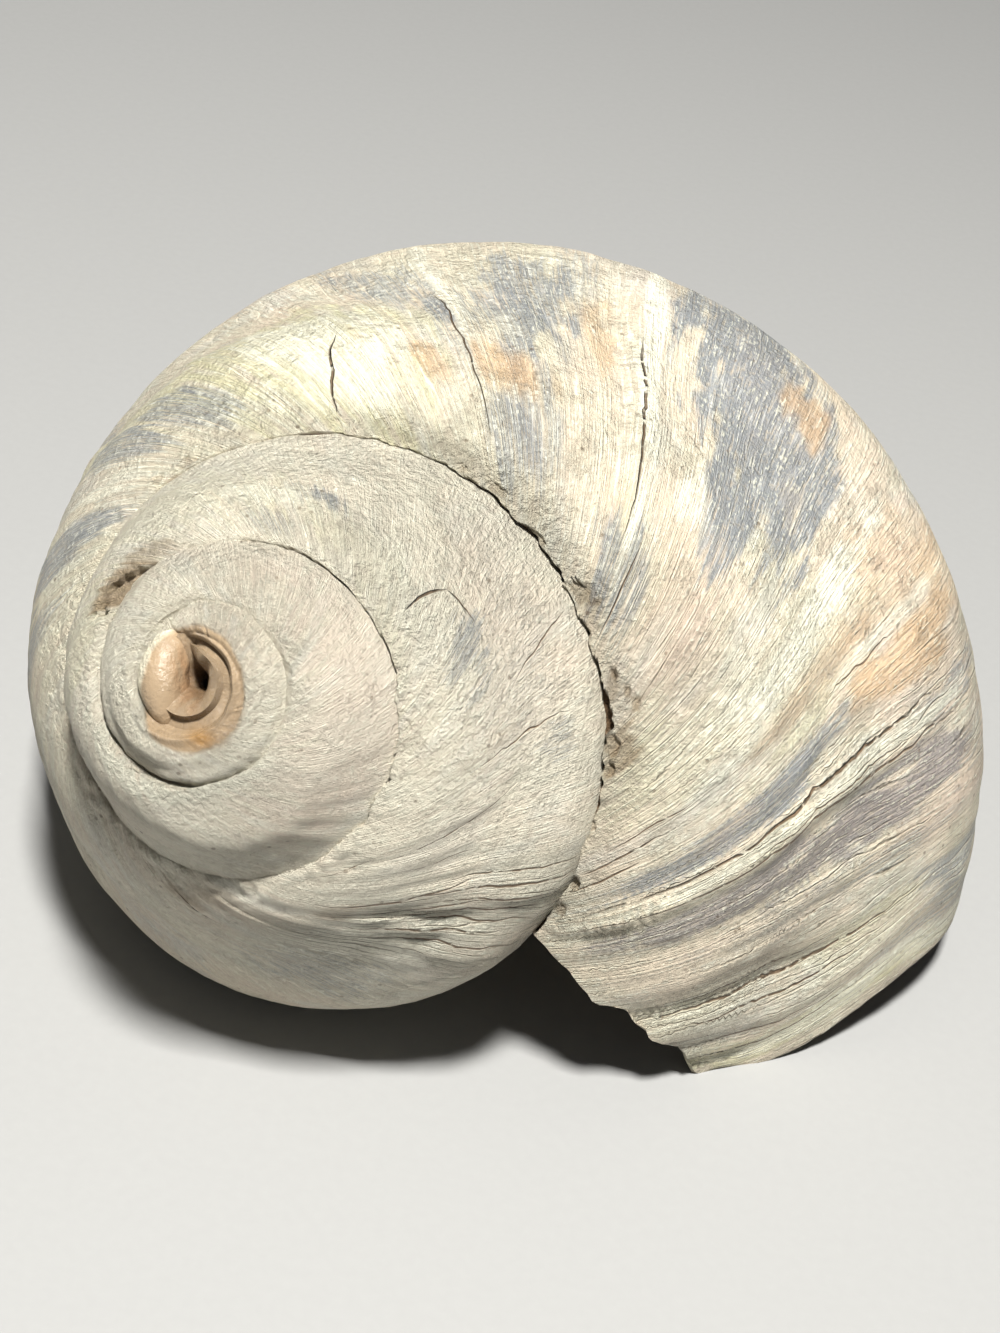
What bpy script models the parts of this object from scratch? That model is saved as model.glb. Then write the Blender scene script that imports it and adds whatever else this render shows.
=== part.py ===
"""Moon snail shell, beach worn and empty, lying on its aperture.

The whole shell is one piece. A whorl with an oval section grows along a widening spiral round
the coil's axis. The last part of it is hollow and opens at the lip, and the earlier whorls close
the spire. Lengths are in millimetres in the shell's own frame, which has the apex at the origin
and the coil's axis along Z, apex up, and are turned into metres as the mesh is made. An angle
"back" is counted round the axis from the lip towards the apex.
"""

import math

import bmesh
import bpy
import numpy as np
from mathutils import Matrix, Vector

MM = 0.001
COLLECTION = "moon_snail_shell"
CUTTERS = "moon_snail_shell_cutters"
SHELL = "shell"

# Sizes at the lip and at each half turn behind it
TUBE_RADIUS = (29.7, 22.1, 14.6, 11.8, 9.7, 7.8, 5.9)
CENTRE_DEPTH = (68.4, 42.1, 27.6, 18.6, 15.0, 11.2, 8.0)
COIL_RATIO = 0.896
LEAST_AXIS_GAP = 0.8

# The section's outline, as parts of its mean radius: an oval, leaning outwards at the foot
OVAL = 0.273
OVAL_NARROW_AT = 24.6
THREE_LOBED = 0.030
LOBES_AT = -58.7

# Growth lines: how far they fall back round the coil, in degrees, from the suture outwards
LAG_RISE = 31.0
LAG_RISE_OVER = 22.0
LAG_SLOPE = 0.22
LAG_RETURN_FROM = 150.0
LIP_EXTRA_LAG = 12.0
LIP_EXTRA_FADES_OVER = 35.0

# The stretches of the coil, in degrees back from the suture's end
LIP_AT = -40.0
LAST_WHORL_END = 204.0
HOLLOW_END = 172.0
SPIRE_FROM = 190.0
SPIRE_END = 1480.0
APEX_ROUNDS_OVER = 60.0
WHORL_STEP = 0.35
BREAK_AT = 1.8
BREAK_BLOCK_SIZE = 120.0
BREAK_LEAVES_AXIS_BY = 13.0

# Wall of the hollow
HOLLOW_ROUNDS_OVER = 45.0
LIP_WALL = 2.2
BACK_WALL = 3.2
WALL_GROWS_OVER = 60.0
COLUMELLA_WALL = 1.6
RIM_ROUNDS_BY = 0.8

# Ridges (+) and furrows (-) along growth lines: degrees back, height, half width in degrees
GROWTH_LEDGES = (
    (-31.0, 0.45, 2.2),
    (-24.5, -0.60, 2.0),
    (-13.0, 0.35, 2.6),
    (1.0, 0.80, 2.2),
    (5.5, -0.45, 1.8),
    (19.0, 0.45, 2.6),
    (37.0, 0.40, 3.0),
    (62.0, 0.75, 2.4),
    (67.0, -0.45, 2.0),
    (80.0, 0.40, 2.6),
    (92.0, 0.65, 2.6),
    (112.0, 0.45, 3.0),
    (133.0, 0.40, 3.0),
    (158.0, 0.45, 3.0),
)

# Callus of the inner lip, beside the umbilicus
CALLUS_HEIGHT = 2.6
CALLUS_AT = -158.0
CALLUS_HALF_WIDTH = 34.0
CALLUS_RUNS_BACK = 55.0

# Columella between the whorls' inner sides
COLUMELLA_TOP = -7.0
COLUMELLA_FOOT = -58.0
COLUMELLA_RADIUS = 7.5
PLUG_AT = (2.0, -2.0, -50.5)
PLUG_RADIUS = 11.5
PLUG_HALF_HEIGHT = 9.0

# Worn hole at the apex
PIT_MOUTH_RADIUS = 2.1
PIT_FOOT_RADIUS = 0.5
PIT_HEIGHT = 13.0
PIT_MIDDLE = -0.5

# Mesh: columns round the section, finer by the suture, and rows along the coil
SUTURE_COLUMNS = (0.0, 5.0, 10.0, 16.0, 23.0, 31.0, 40.0, 50.0)
EVEN_COLUMNS_FROM = 61.5
EVEN_COLUMN_STEP = 11.5
SPIRE_COLUMNS = 28
LAST_ROW_STEP = 8.0
SPIRE_ROW_STEP = 10.0
HOLLOW_ROW_STEP = 12.0
MERGE_DISTANCE = 0.002

# Rest: how the coil's axis lies when the shell stands on its aperture, in degrees
AXIS_FROM_UPRIGHT = 57.2
UP_SIDE = 120.0
HEADING = 67.5

SHELL_COLOUR = (0.72, 0.63, 0.50, 1.0)
SHELL_ROUGHNESS = 0.62


def smoothstep(x):
    """Rise from 0 to 1 without a corner at either end."""
    x = np.clip(x, 0.0, 1.0)
    return x * x * (3.0 - 2.0 * x)


def at_half_turns(sizes, back):
    """Size at an angle back from the lip, on a smooth growth curve through the half-turn sizes."""
    logs = np.log(sizes)
    count = len(logs)
    ends = np.concatenate([[2 * logs[0] - logs[1]], logs, [2 * logs[-1] - logs[-2]]])
    x = np.asarray(back, dtype=float) / 180.0
    i = np.clip(np.floor(x).astype(int), 0, count - 2)
    u = x - i
    p0, p1, p2, p3 = ends[i], ends[i + 1], ends[i + 2], ends[i + 3]
    curve = 0.5 * (
        2 * p1
        + (p2 - p0) * u
        + (2 * p0 - 5 * p1 + 4 * p2 - p3) * u ** 2
        + (3 * p1 - p0 - 3 * p2 + p3) * u ** 3
    )
    before = logs[0] + (logs[1] - logs[0]) * x
    after = logs[-1] + (logs[-1] - logs[-2]) * (x - (count - 1))
    return np.exp(np.where(x < 0, before, np.where(x > count - 1, after, curve)))


def section_factor(angle):
    """Radius of the whorl's section over its mean, at an angle up from straight outwards."""
    oval = OVAL * np.cos(2 * np.radians(angle - OVAL_NARROW_AT))
    lobes = THREE_LOBED * np.cos(3 * np.radians(angle - LOBES_AT))
    return 1.0 - oval - lobes


def growth_lag(out_angle):
    """Degrees that a growth line falls back, at an angle round the section from its top."""
    rise = LAG_RISE * (1.0 - np.exp(-out_angle / LAG_RISE_OVER))
    back_again = (LAG_SLOPE * 360.0 + LAG_RISE) * smoothstep(
        (out_angle - LAG_RETURN_FROM) / (360.0 - LAG_RETURN_FROM)
    )
    return rise + LAG_SLOPE * out_angle - back_again


def lip_lag(line, out_angle):
    """Extra lag of the growth lines near the lip, on the outer wall and the base."""
    outer = smoothstep((out_angle - 60.0) / 40.0)
    inner = 1.0 - smoothstep((out_angle - 265.0) / 65.0)
    fade = 1.0 - smoothstep((line - LIP_AT) / LIP_EXTRA_FADES_OVER)
    return LIP_EXTRA_LAG * outer * inner * fade


def relief(line, out_angle):
    """Height of the growth ridges and furrows on the outside of the last whorl."""
    height = np.zeros(np.broadcast(line, out_angle).shape)
    for place, size, half_width in GROWTH_LEDGES:
        height = height + size * np.exp(-(((line - place) / half_width) ** 2))
    outside = smoothstep(out_angle / 12.0) * (1.0 - smoothstep((out_angle - 190.0) / 50.0))
    return height * outside


def callus(line, section_angle):
    """Thickness that the inner lip adds beside the umbilicus."""
    across = (section_angle - CALLUS_AT) / CALLUS_HALF_WIDTH
    along = (line - LIP_AT) / CALLUS_RUNS_BACK
    return CALLUS_HEIGHT * np.exp(-across ** 2 - along ** 2)


def whorl_point(line, out_angle, inset=0.0, shrink=1.0, outside=True):
    """Points of the whorl's surface on a growth line, in the shell's frame."""
    section_angle = 90.0 - out_angle
    lag = growth_lag(out_angle) + lip_lag(line, out_angle)
    back = line + shrink * lag + (1.0 - shrink) * np.mean(lag)
    radius = at_half_turns(TUBE_RADIUS, back)
    reach = radius * section_factor(section_angle) - inset
    if outside:
        reach = reach + relief(line, out_angle) + callus(line, section_angle)
    reach = reach * shrink
    out = COIL_RATIO * radius + reach * np.cos(np.radians(section_angle))
    out = LEAST_AXIS_GAP + np.logaddexp(0.0, (out - LEAST_AXIS_GAP) * 2.0) / 2.0
    up = -at_half_turns(CENTRE_DEPTH, back) + reach * np.sin(np.radians(section_angle))
    turn = np.radians(back)
    return np.stack([out * np.cos(turn), out * np.sin(turn), up], axis=-1)


def lofted_tube(name, rows):
    """Closed tube through rows of points, its two ends closed by a fan to their middle."""
    bm = bmesh.new()
    rings = [[bm.verts.new(Vector(point) * MM) for point in row] for row in rows]
    for ring, following in zip(rings, rings[1:]):
        for i in range(len(ring)):
            j = (i + 1) % len(ring)
            bm.faces.new((ring[i], ring[j], following[j], following[i]))
    for ring in (rings[0], rings[-1]):
        middle = bm.verts.new(sum((v.co for v in ring), Vector()) / len(ring))
        for i in range(len(ring)):
            bm.faces.new((ring[i], ring[(i + 1) % len(ring)], middle))
    bmesh.ops.recalc_face_normals(bm, faces=bm.faces)
    return object_from(bm, name)


def object_from(bm, name):
    """Object that holds a bmesh, linked to the cutters' collection."""
    mesh = bpy.data.meshes.new(name)
    bm.to_mesh(mesh)
    bm.free()
    thing = bpy.data.objects.new(name, mesh)
    bpy.data.collections[CUTTERS].objects.link(thing)
    thing.hide_render = True
    thing.display_type = "WIRE"
    return thing


def columns_round_section():
    """Angles round the section, from its top outwards, finer by the suture."""
    return np.array(SUTURE_COLUMNS + tuple(np.arange(EVEN_COLUMNS_FROM, 354.0, EVEN_COLUMN_STEP)))


def outer_rows(columns):
    """Outside of the last whorl, from its inner end to the lip, on the growth lines."""
    even = np.arange(LIP_AT, LAST_WHORL_END, LAST_ROW_STEP)
    ledges = [place + k * half for place, _, half in GROWTH_LEDGES for k in (-1.3, 0.0, 1.3)]
    ledges = np.array([line for line in ledges if line > LIP_AT + 1.0])
    even = [line for line in even if line == LIP_AT or np.abs(ledges - line).min() > 2.6]
    lines = np.sort(np.concatenate([even, ledges, [LAST_WHORL_END]]))
    return [whorl_point(line, columns) for line in lines[::-1]]


def shrink_to_end(line, end, over):
    """Part of its size that a tube keeps as it rounds off to an end."""
    near_end = np.clip((line - (end - over)) / over, 0.0, 1.0)
    return math.sqrt(max(1.0 - near_end ** 2, 0.02))


def hollow_rows(columns):
    """Inside of the last whorl, from the lip to its rounded inner end."""
    inner_side = np.exp(-(((columns - 250.0) / 60.0) ** 2))
    rows = []
    for line in np.linspace(LIP_AT, HOLLOW_END, 1 + round((HOLLOW_END - LIP_AT) / HOLLOW_ROW_STEP)):
        shrink = shrink_to_end(line, HOLLOW_END, HOLLOW_ROUNDS_OVER)
        wall = LIP_WALL + (BACK_WALL - LIP_WALL) * smoothstep((line - LIP_AT) / WALL_GROWS_OVER)
        wall = wall + COLUMELLA_WALL * inner_side
        rows.append(whorl_point(line, columns, inset=wall, shrink=shrink, outside=False))
    return rows


def last_whorl():
    """Last whorl as a bent cup: its outside, the lip's rounded rim and its inside."""
    columns = columns_round_section()
    outer = outer_rows(columns)
    inner = hollow_rows(columns)
    ahead = outer[-1] - whorl_point(LIP_AT + 1.0, columns)
    ahead = ahead / np.linalg.norm(ahead, axis=1, keepdims=True)
    rim = (outer[-1] + inner[0]) / 2 + RIM_ROUNDS_BY * ahead
    return lofted_tube("last_whorl", outer + [rim] + inner)


def spire():
    """Earlier whorls, solid, a step inside the last one and closed by a round end at the apex."""
    columns = np.arange(SPIRE_COLUMNS) * 360.0 / SPIRE_COLUMNS
    rows = []
    for line in np.arange(SPIRE_FROM, SPIRE_END + 0.1, SPIRE_ROW_STEP):
        shrink = shrink_to_end(line, SPIRE_END, APEX_ROUNDS_OVER)
        rows.append(whorl_point(line, columns, inset=WHORL_STEP, shrink=shrink))
    return lofted_tube("spire", rows)


def break_block():
    """Block whose one face is the radial break in the upper lip."""
    size = BREAK_BLOCK_SIZE
    middle = Vector((size / 2 + BREAK_LEAVES_AXIS_BY, -size / 2, -size / 2))
    bm = bmesh.new()
    bmesh.ops.create_cube(bm, size=size * MM)
    bmesh.ops.translate(bm, verts=bm.verts, vec=middle * MM)
    turn = Matrix.Rotation(math.radians(BREAK_AT), 3, "Z")
    bmesh.ops.rotate(bm, verts=bm.verts, cent=Vector(), matrix=turn)
    return object_from(bm, "break_block")


def round_solid(name, middle, radius, half_height):
    """Ball, drawn out along the coil's axis."""
    bm = bmesh.new()
    bmesh.ops.create_uvsphere(bm, u_segments=16, v_segments=12, radius=radius * MM)
    bmesh.ops.scale(bm, verts=bm.verts, vec=Vector((1.0, 1.0, half_height / radius)))
    bmesh.ops.translate(bm, verts=bm.verts, vec=Vector(middle) * MM)
    return object_from(bm, name)


def columella():
    """Spindle that fills the space round the axis, between the whorls' inner sides."""
    middle = (0.0, 0.0, (COLUMELLA_TOP + COLUMELLA_FOOT) / 2)
    half_height = (COLUMELLA_TOP - COLUMELLA_FOOT) / 2
    return round_solid("columella", middle, COLUMELLA_RADIUS, half_height)


def apex_pit():
    """Tapering pit where the apex is worn through."""
    bm = bmesh.new()
    bmesh.ops.create_cone(
        bm, cap_ends=True, segments=12, radius1=PIT_FOOT_RADIUS * MM,
        radius2=PIT_MOUTH_RADIUS * MM, depth=PIT_HEIGHT * MM,
    )
    bmesh.ops.translate(bm, verts=bm.verts, vec=Vector((0.0, 0.0, PIT_MIDDLE)) * MM)
    return object_from(bm, "apex_pit")


def combine(target, tool, operation, use_self=False):
    """Join or cut one solid with another, and keep the result as the target's mesh."""
    step = target.modifiers.new(tool.name, "BOOLEAN")
    step.operation = operation
    step.solver = "EXACT"
    step.use_self = use_self
    step.object = tool
    depsgraph = bpy.context.evaluated_depsgraph_get()
    result = bpy.data.meshes.new_from_object(target.evaluated_get(depsgraph))
    target.modifiers.clear()
    target.data = result


def clean(thing):
    """Merge points closer than the smallest real feature."""
    bm = bmesh.new()
    bm.from_mesh(thing.data)
    bmesh.ops.remove_doubles(bm, verts=bm.verts, dist=MERGE_DISTANCE * MM)
    bmesh.ops.dissolve_degenerate(bm, edges=bm.edges, dist=MERGE_DISTANCE * MM)
    bm.to_mesh(thing.data)
    bm.free()


def shell_material():
    """Chalky, worn shell."""
    material = bpy.data.materials.new("worn_shell")
    material.use_nodes = True
    shader = material.node_tree.nodes["Principled BSDF"]
    shader.inputs["Base Color"].default_value = SHELL_COLOUR
    shader.inputs["Roughness"].default_value = SHELL_ROUGHNESS
    shader.inputs["Metallic"].default_value = 0.0
    return material


def lay_down(thing):
    """Turn the shell to its rest and set its lowest point on the ground, middle at the origin."""
    turn = (
        Matrix.Rotation(math.radians(HEADING), 3, "Z")
        @ Matrix.Rotation(math.radians(-AXIS_FROM_UPRIGHT), 3, "Y")
        @ Matrix.Rotation(math.radians(-UP_SIDE), 3, "Z")
    )
    points = np.array([turn @ vertex.co for vertex in thing.data.vertices])
    low, high = points.min(axis=0), points.max(axis=0)
    thing.rotation_euler = turn.to_euler()
    thing.location = (-(low[0] + high[0]) / 2, -(low[1] + high[1]) / 2, -low[2])


def main():
    for thing in list(bpy.data.objects):
        bpy.data.objects.remove(thing, do_unlink=True)
    for name in (COLLECTION, CUTTERS):
        bpy.context.scene.collection.children.link(bpy.data.collections.new(name))
    shell = last_whorl()
    shell.name = SHELL
    combine(shell, break_block(), "DIFFERENCE")
    upper_whorls = spire()
    core = columella()
    combine(core, round_solid("callus_plug", PLUG_AT, PLUG_RADIUS, PLUG_HALF_HEIGHT), "UNION")
    combine(upper_whorls, core, "UNION", use_self=True)
    combine(shell, upper_whorls, "UNION")
    combine(shell, apex_pit(), "DIFFERENCE")
    clean(shell)
    bpy.data.collections[CUTTERS].objects.unlink(shell)
    bpy.data.collections[COLLECTION].objects.link(shell)
    shell.hide_render = False
    shell.display_type = "TEXTURED"
    shell.data.materials.clear()
    shell.data.materials.append(shell_material())
    shell.data.shade_smooth()
    shell.data.set_sharp_from_angle(angle=math.radians(35.0))
    lay_down(shell)


main()
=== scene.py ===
"""Moon snail shell, beach worn: the looks of the shell, its floor, light and camera.

A flat sheet of shell is laid out along the growth of the animal, with its ridges, furrows and
thickness, and is rolled up along the widening spiral. Lengths are millimetres in the shell's own
frame, apex at the origin and coil axis along Z, until the shell is laid down on its aperture.
"""
import math

import bmesh
import bpy
import numpy as np
from mathutils import Matrix, Vector
from mathutils import noise as wave


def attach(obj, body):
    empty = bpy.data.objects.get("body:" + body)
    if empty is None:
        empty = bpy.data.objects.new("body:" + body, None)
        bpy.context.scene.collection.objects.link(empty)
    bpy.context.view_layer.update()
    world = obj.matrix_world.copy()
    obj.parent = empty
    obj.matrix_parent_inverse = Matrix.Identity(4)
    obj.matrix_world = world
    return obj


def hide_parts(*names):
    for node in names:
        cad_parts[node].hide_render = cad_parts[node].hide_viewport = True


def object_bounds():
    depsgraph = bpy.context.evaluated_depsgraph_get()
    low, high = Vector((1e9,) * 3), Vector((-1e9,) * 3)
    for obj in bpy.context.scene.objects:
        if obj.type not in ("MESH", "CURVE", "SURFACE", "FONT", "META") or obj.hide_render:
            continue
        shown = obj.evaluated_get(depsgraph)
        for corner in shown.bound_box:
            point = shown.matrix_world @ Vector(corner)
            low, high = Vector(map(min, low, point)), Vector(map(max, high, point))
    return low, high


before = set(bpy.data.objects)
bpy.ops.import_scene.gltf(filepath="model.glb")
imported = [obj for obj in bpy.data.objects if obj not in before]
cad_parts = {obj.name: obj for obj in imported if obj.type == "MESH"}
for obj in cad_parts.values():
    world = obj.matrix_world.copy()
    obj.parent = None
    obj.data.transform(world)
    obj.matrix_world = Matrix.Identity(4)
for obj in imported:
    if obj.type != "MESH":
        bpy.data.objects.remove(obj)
CAD_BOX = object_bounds()

bl_info = {
    "name": "Moon snail shell",
    "version": (1, 0, 0),
    "blender": (4, 5, 0),
    "location": "3D View > Sidebar > Shell",
    "description": "Grows a beach-worn moon snail shell and sets it on a studio floor",
    "category": "Add Mesh",
}

MM = 0.001
NODE = "shell"

# Growth lines at which the outside and the inside end, and over which they round off, in degrees
SPIRE_END, SPIRE_ROUNDING = 1240.0, 60.0
INSIDE_END, INSIDE_ROUNDING = 172.0, 45.0

# How growth lines fall back: degrees near the seam, over how many degrees round, slope beyond
LAG_AT_SEAM, LAG_SPAN, LAG_SLOPE = 31.0, 22.0, 0.22

# Directions in the shell's own frame that point right, up and out of the picture
PICTURE_RIGHT = (0.5556, 0.7663, -0.3225)
PICTURE_UP = (-0.8042, 0.5938, 0.0255)
PICTURE_OUT = (0.2111, 0.2452, 0.9462)

# How the shell comes to lie on its aperture: turns in degrees, the last one first, and move in mm
REST_TURNS = (("Z", 67.5), ("Y", -57.2), ("Z", -120.0))
REST_MOVE = (-26.2407, -37.8661, 49.3522)

# Camera's place along those three from the apex in mm, and its lens in sensor widths
CAMERA_PLACE = (24.007, 0.936, 176.41)
CAMERA_LENS = 2.32717
SENSOR_WIDTH = 36.0

# Tints that the finish mixes in over the shell's main colours
SKY_GREY = (0.62, 0.65, 0.62)
PINKISH = (0.66, 0.51, 0.41)
YELLOWISH = (0.74, 0.71, 0.43)
SPIRE_WHITE = (0.95, 0.90, 0.75)
HAIR_WHITE = (0.74, 0.74, 0.70)
DULL_BROWN = (0.48, 0.42, 0.33)
DRY_BROWN = (0.30, 0.19, 0.09)
# Thread shadow brown is painted shade, the thin shadow under the edge of each growth lamina
THREAD_SHADOW_BROWN = (0.22, 0.165, 0.10)
CHIP_BROWN = (0.34, 0.25, 0.15)
DEEP_TAN = (0.30, 0.22, 0.14)
TEAR_BROWN = (0.30, 0.17, 0.085)
AMBER = (0.42, 0.22, 0.06)
# Hollow brown and shade is the brown of the apex pit's walls, darkened as painted shade towards its
# hole; hole shade black is the hole painted as shade
HOLLOW_BROWN_AND_SHADE = (0.22, 0.135, 0.07)
HOLE_SHADE_BLACK = (0.012, 0.008, 0.006)
PORCELAIN = ((0.62, 0.50, 0.38), (0.72, 0.64, 0.54))
PAPER = ((0.31, 0.31, 0.305), (0.33, 0.33, 0.325))

# Ridges (+) and furrows (-) that stand along growth lines: degrees back, height, half width
GROWTH_LEDGES = (
    (-31.0, 0.45, 2.2), (-24.5, -0.60, 2.0), (-13.0, 0.35, 2.6), (1.0, 0.80, 2.2),
    (5.5, -0.45, 1.8), (19.0, 0.45, 2.6), (37.0, 0.40, 3.0), (62.0, 0.75, 2.4),
    (67.0, -0.45, 2.0), (80.0, 0.40, 2.6), (92.0, 0.65, 2.6), (112.0, 0.45, 3.0),
    (133.0, 0.40, 3.0), (158.0, 0.45, 3.0),
)

# Where the seam between whorls lies on the later whorl: degrees back, degrees from its top
SEAM = (
    (-50, 1.0), (0, 0.5), (50, 0.2), (100, -0.6), (150, -1.6), (200, -1.6), (250, 0.5), (300, 3.8),
    (350, 5.9), (400, 4.9), (490, -0.2), (580, -3.6), (670, -4.1), (760, -5.6), (850, -7.9),
    (940, -9.5), (1030, -10.3), (1120, -11.1), (1210, -12.1), (1300, -13.2), (1390, -14.5),
)

# Mean radius of the whorl, degrees back and mm
RADIUS_BACK = (
    (-40, 31.7), (0, 29.7), (180, 22.1), (360, 14.6), (540, 11.8), (720, 9.7), (1080, 5.9),
)

# Height of the shelf beside the seam of the early whorls: degrees back, mm
SHELF = (
    (430, 0.0), (500, 0.25), (600, 0.9), (640, 1.35), (690, 1.3), (740, 0.65), (800, 0.2),
    (900, 0.3), (960, 0.6), (1060, 0.6), (1120, 0.25), (1300, 0.1),
)

# Width of the gap in the seam, whose inside is painted dark as its shade: degrees back, width in mm
SEAM_GAP = (
    (-20, 0.25), (4, 0.42), (12, 0.45), (22, 0.20), (30, 0.22), (38, 0.50), (46, 0.65), (54, 0.42),
    (60, 0.50), (70, 0.50), (86, 0.34), (104, 0.26), (120, 0.18), (138, 0.14), (152, 0.04),
    (165, 0.10), (180, 0.12), (195, 0.02), (322, 0.02), (334, 0.24), (350, 0.20), (364, 0.28),
    (380, 0.36), (396, 0.32), (404, 0.20), (416, 0.32), (440, 0.24), (470, 0.14), (500, 0.02),
    (540, 0.02), (690, 0.02), (1400, 0.02),
)

# Chips out of the upper edge: degrees back, mm from the seam, half sizes, depth
CHIPS = (
    (71.5, 1.0, 2.2, 0.6, 0.7), (69.0, 1.6, 1.2, 0.5, 0.5), (56.0, 1.3, 1.4, 0.30, 0.7),
    (53.0, 2.0, 1.2, 0.30, 0.6), (50.6, 2.5, 1.4, 0.45, 0.6), (43.0, 0.7, 2.2, 0.5, 0.8),
    (38.0, 0.6, 2.0, 0.4, 0.6), (97.0, 0.9, 2.4, 0.4, 0.4), (104.0, 0.6, 1.5, 0.3, 0.4),
    (15.0, 0.7, 1.3, 0.6, 0.6), (9.0, 0.9, 1.6, 0.5, 0.5), (168.0, 0.6, 3.0, 0.4, 0.4),
    (176.0, 0.8, 2.0, 0.4, 0.4), (84.0, 0.5, 2.5, 0.3, 0.4), (26.0, 0.4, 1.6, 0.3, 0.4),
)

# Colour patches: growth line, degrees from the seam, half sizes in the same, strength
SLATE = (
    (43, 64, 13, 32, 1.0), (48, 88, 10, 36, 1.0), (46, 36, 6, 12, 0.7), (35, 75, 6, 26, 0.8),
    (54, 104, 4, 26, 0.6), (79, 68, 7, 30, 0.75), (85, 48, 7, 22, 0.65), (83, 20, 6, 14, 0.55),
    (93, 34, 5, 14, 0.5), (71, 78, 3, 34, 0.5), (99, 62, 8, 24, 0.65), (95, 41, 4, 7, 0.6),
    (7, 30, 3.4, 24, 0.9), (9, 52, 2.6, 14, 0.7), (-14, 82, 3, 22, 0.5), (-25, 106, 5, 20, 0.7),
    (-34, 108, 4, 22, 0.6), (2, 100, 2.4, 18, 0.7), (62, 8, 8, 8, 0.75), (90, 11, 6, 8, 0.65),
    (148, 16, 9, 12, 0.7), (160, 22, 7, 16, 0.7), (186, 16, 9, 14, 0.8), (204, 20, 7, 14, 0.7),
    (128, 42, 7, 18, 0.4), (395, 30, 9, 13, 0.7), (382, 31, 5, 9, 0.5), (354, 80, 7, 12, 0.5),
    (450, 25, 5, 6, 0.8), (460, 24, 5, 5, 0.5), (475, 8, 12, 5, 0.5), (283, 62, 14, 30, 0.5),
    (-6, 118, 4, 30, 0.4), (26, 128, 10, 20, 0.5), (66, 134, 12, 24, 0.5),
    (112, 120, 14, 34, 0.6), (150, 80, 12, 40, 0.6), (182, 110, 8, 60, 0.4),
    (242, 60, 16, 30, 0.4),
)
MAUVE = (
    (-6, 66, 4.4, 38, 1.0), (-5, 30, 4.0, 20, 0.9), (-13, 44, 4.6, 26, 0.5), (-5, 94, 3, 18, 0.9),
    (42, 80, 10, 26, 0.4), (20, 42, 6, 16, 0.3), (380, 60, 30, 30, 0.35),
)
PEACH = (
    (38, 89, 4, 9, 0.9), (19, 86, 6, 26, 0.6), (9, 88, 4, 20, 0.95), (10, 72, 3, 14, 0.9),
    (18, 50, 4, 22, 0.5), (18, 34, 3, 12, 0.45), (87, 24, 7, 9, 0.95), (101, 21, 4, 6, 0.95),
    (69, 60, 3, 16, 0.6), (69, 62, 3, 24, 0.5), (50, 17, 8, 14, 0.35), (35, 60, 3, 9, 0.35),
    (12, 110, 5, 22, 0.6), (76, 38, 5, 12, 0.3), (30, 20, 8, 10, 0.25), (8, 24, 2.4, 8, 0.4),
    (34, 118, 6, 18, 0.4), (100, 96, 6, 28, 0.3), (140, 130, 12, 40, 0.3),
)
CREAM = (
    (61, 60, 2.6, 54, 1.0), (92, 55, 2.0, 40, 0.8), (24, 55, 2.8, 36, 0.9), (1.6, 52, 1.8, 54, 0.9),
    (51, 30, 4, 9, 0.7), (120, 22, 12, 22, 0.8), (108, 30, 5, 14, 0.6), (136, 6, 9, 6, 0.5),
    (-38, 84, 2.6, 40, 0.8), (-30, 76, 2.4, 30, 0.5), (28, 22, 6, 16, 0.5), (66, 34, 3, 18, 0.4),
    (14, 66, 1.2, 30, 0.6), (84, 44, 2, 16, 0.5), (172, 10, 6, 8, 0.6), (470, 20, 20, 8, 0.7),
    (300, 40, 20, 26, 0.4), (-18, 62, 3, 30, 0.4), (420, 16, 20, 12, 0.5), (352, 30, 12, 20, 0.4),
    (640, 6, 50, 5, 0.9), (700, 4, 30, 4, 0.7),
)
PINK = (
    (735, 34, 70, 34, 0.9), (380, 62, 36, 40, 0.7), (345, 36, 14, 22, 0.6), (46, 16, 8, 12, 0.6),
    (36, 16, 8, 10, 0.6), (8, 88, 12, 30, 0.6), (-10, 100, 8, 26, 0.6), (60, 104, 14, 22, 0.5),
    (-18, 40, 5, 26, 0.5), (-30, 40, 4, 22, 0.4), (26, 84, 8, 26, 0.6), (820, 40, 50, 30, 0.5),
)
YELLOW = (
    (122, 26, 20, 28, 0.8), (150, 34, 16, 26, 0.6), (104, 34, 9, 16, 0.5), (136, 8, 18, 10, 0.5),
    (-38, 80, 3, 34, 0.8), (-36, 50, 3, 20, 0.5), (1.6, 40, 1.8, 34, 0.6), (62, 14, 5, 10, 0.5),
    (440, 14, 30, 10, 0.6), (500, 30, 40, 30, 0.6), (560, 14, 30, 14, 0.7), (14, 40, 3, 18, 0.5),
    (420, 4, 30, 4, 0.5), (28, 6, 10, 5, 0.4), (-24, 76, 3, 20, 0.5), (200, 20, 12, 20, 0.4),
)
STAIN = (
    (37, 3.2, 5, 2.6, 0.8), (50, 2.6, 4, 2.0, 0.7), (64, 2.6, 4, 2.2, 0.5), (12, 4, 3, 3, 0.4),
    (31, 6, 3.5, 2.6, 0.4), (318, 22, 6, 7, 0.6), (286, 11, 5, 5, 0.7), (296, 8, 6, 4, 0.6),
    (545, 3, 14, 8, 1.0), (528, 5, 12, 6, 0.7), (100, 3, 8, 2, 0.4), (150, 3, 12, 2, 0.4),
    (312, 30, 8, 10, 0.3),
)

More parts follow.
